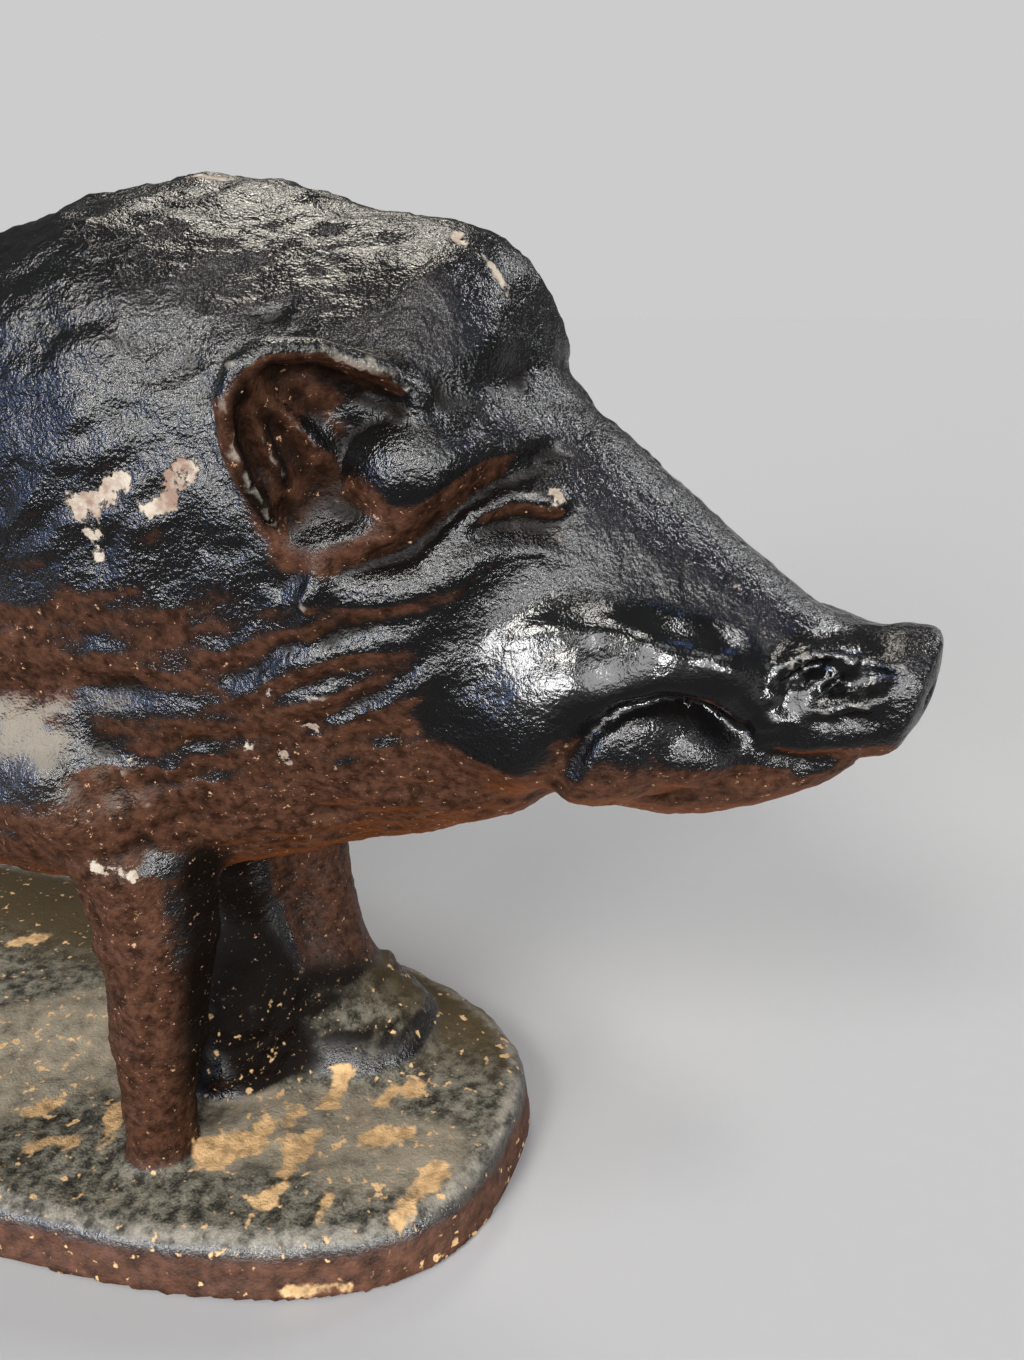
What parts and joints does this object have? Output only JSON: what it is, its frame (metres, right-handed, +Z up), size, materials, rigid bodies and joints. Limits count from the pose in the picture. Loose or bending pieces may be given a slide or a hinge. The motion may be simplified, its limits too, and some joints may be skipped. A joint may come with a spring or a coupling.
{
  "type": "boar figurine",
  "caption": "Standing boar ornament on a low plinth with rounded ends, cast in one piece with the ground under its feet.",
  "frame": {"origin": "middle of the plinth's flat underside", "axes": "+X toward the boar's snout, +Y the boar's left side, +Z up"},
  "size_m": [0.2251, 0.074, 0.1334],
  "materials": {
    "black_painted_iron": "glossy black paint over a grainy casting, worn at the edges"
  },
  "bodies": {
    "root": {"boar_on_plinth": "black_painted_iron"}
  },
  "joints": []
}
